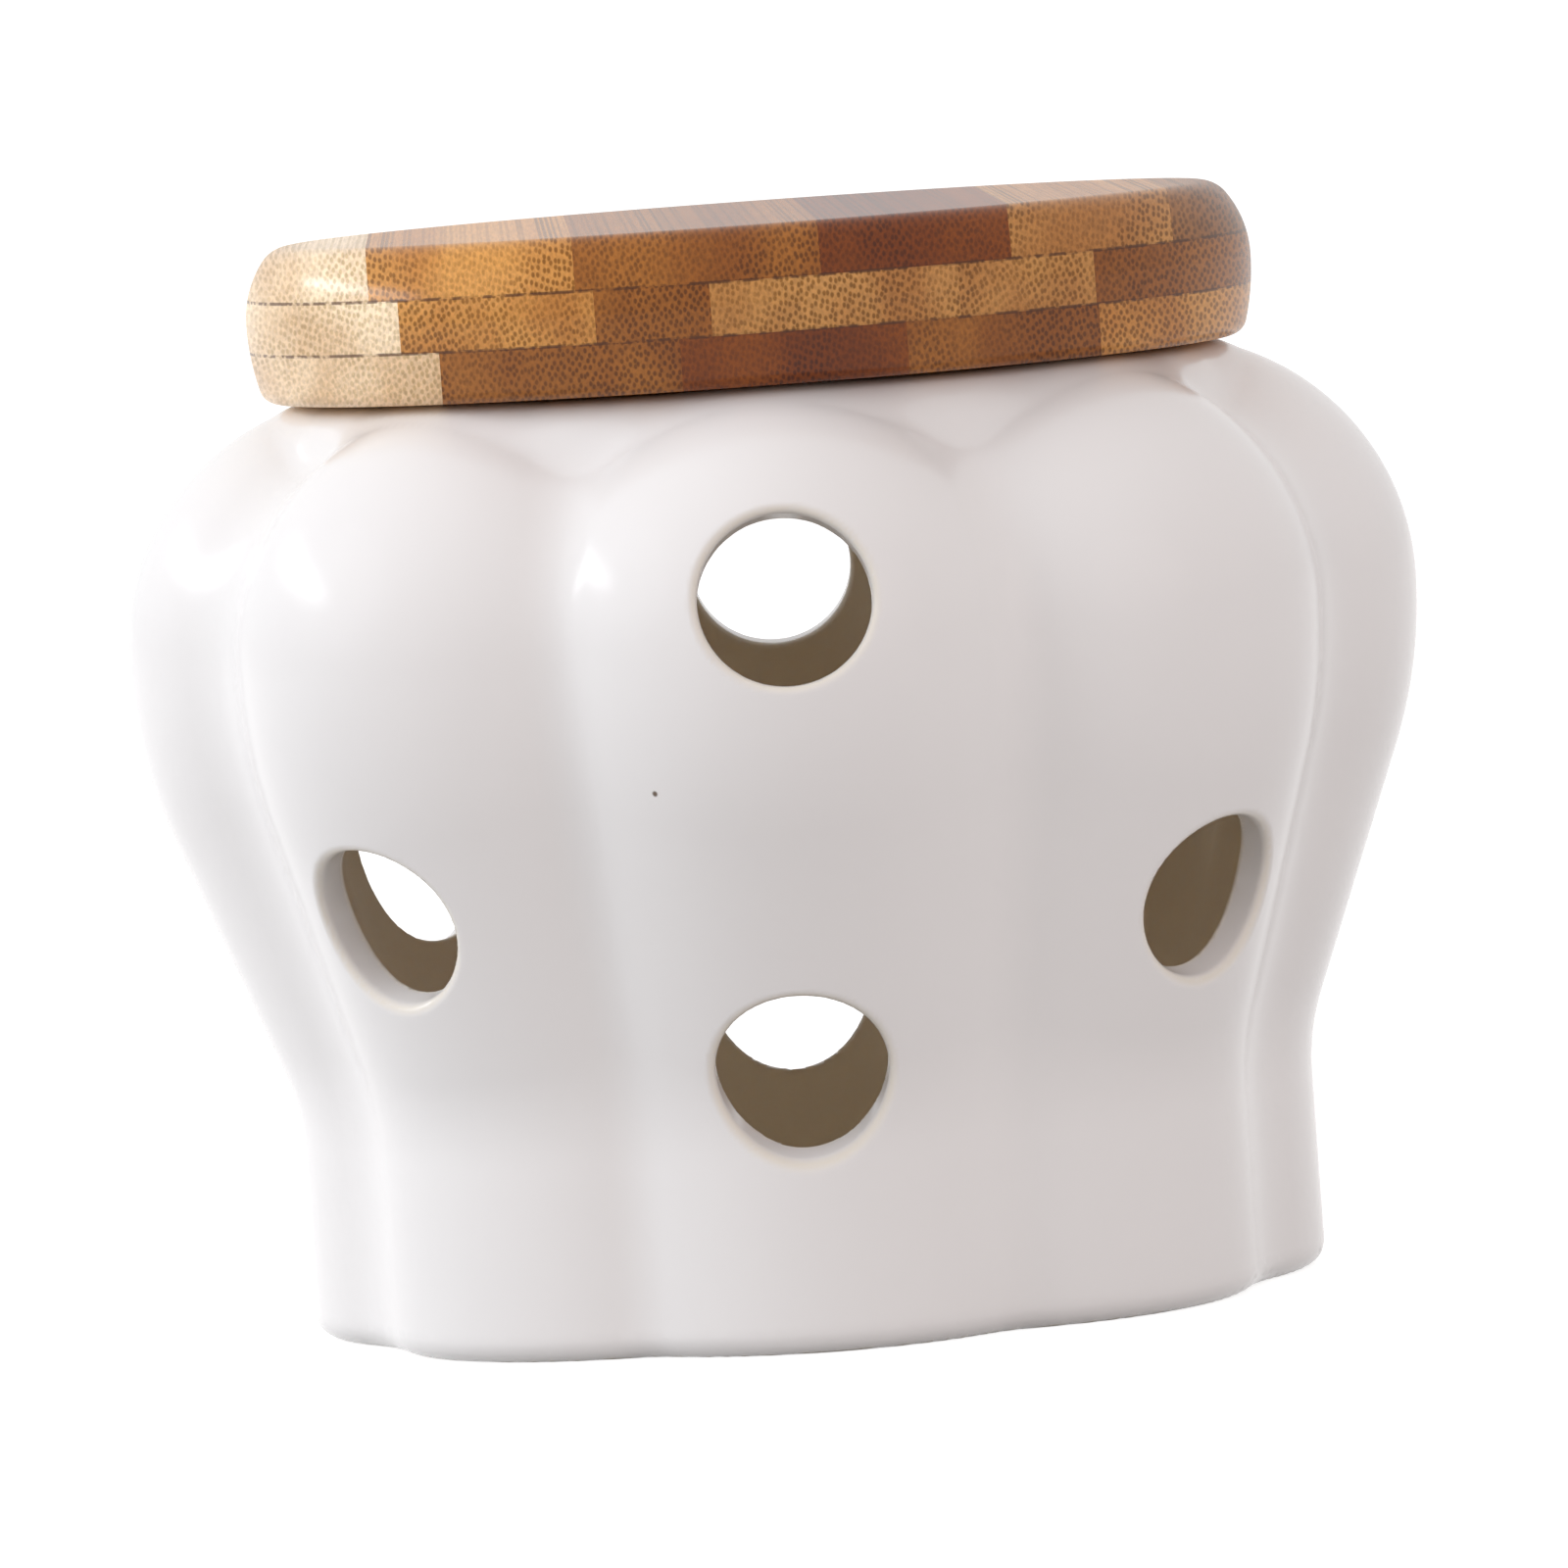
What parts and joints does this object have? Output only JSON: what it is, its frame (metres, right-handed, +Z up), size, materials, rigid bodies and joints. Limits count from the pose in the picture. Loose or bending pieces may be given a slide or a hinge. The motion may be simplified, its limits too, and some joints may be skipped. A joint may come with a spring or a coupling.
{
  "type": "garlic keeper",
  "caption": "Lobed glazed stoneware pot with round air vents through the wall and a lift-off laminated bamboo lid with a locating plug and a seal.",
  "frame": {"origin": "centre of the pot's foot, on the surface that it stands on", "axes": "+Z up along the pot's axis, -Y towards the front, where a lobe with two vents points"},
  "size_m": [0.1298, 0.1293, 0.1097],
  "materials": {
    "glazed_stoneware": "slip-cast white stoneware under a clear gloss glaze",
    "bamboo_pale": "pale laminated bamboo, satin lacquer",
    "bamboo_golden": "golden-brown laminated bamboo, satin lacquer",
    "bamboo_dark": "carbonised dark laminated bamboo, satin lacquer",
    "silicone": "translucent white food-grade silicone"
  },
  "bodies": {
    "pot": {"pot": "glazed_stoneware"},
    "seal": {"seal_ring": "silicone"},
    "lid": {"plug_lower_slat_1": "bamboo_pale", "plug_lower_slat_2": "bamboo_golden", "plug_lower_slat_3": "bamboo_pale", "plug_lower_slat_4": "bamboo_dark", "plug_upper_slat_1": "bamboo_golden", "plug_upper_slat_2": "bamboo_pale", "plug_upper_slat_3": "bamboo_dark", "plug_upper_slat_4": "bamboo_golden", "plug_upper_slat_5": "bamboo_pale", "lid_bottom_slat_1": "bamboo_pale", "lid_bottom_slat_2": "bamboo_dark", "lid_bottom_slat_3": "bamboo_golden", "lid_bottom_slat_4": "bamboo_dark", "lid_bottom_slat_5": "bamboo_golden", "lid_middle_slat_1": "bamboo_pale", "lid_middle_slat_2": "bamboo_dark", "lid_middle_slat_3": "bamboo_pale", "lid_middle_slat_4": "bamboo_golden", "lid_middle_slat_5": "bamboo_pale", "lid_middle_slat_6": "bamboo_golden", "lid_top_slat_1": "bamboo_pale", "lid_top_slat_2": "bamboo_golden", "lid_top_slat_3": "bamboo_dark", "lid_top_slat_4": "bamboo_pale", "lid_top_slat_5": "bamboo_golden", "lid_top_slat_6": "bamboo_pale"}
  },
  "joints": [
    {"name": "lid_lift", "type": "slide", "parent": "pot", "child": "seal", "axis": [0, 0, 1], "range_m": [0, 0.12]},
    {"name": "lid_turn", "type": "hinge", "parent": "seal", "child": "lid", "pos_m": [0, 0, 0.0941], "axis": [0, 0, 1], "continuous": true}
  ]
}
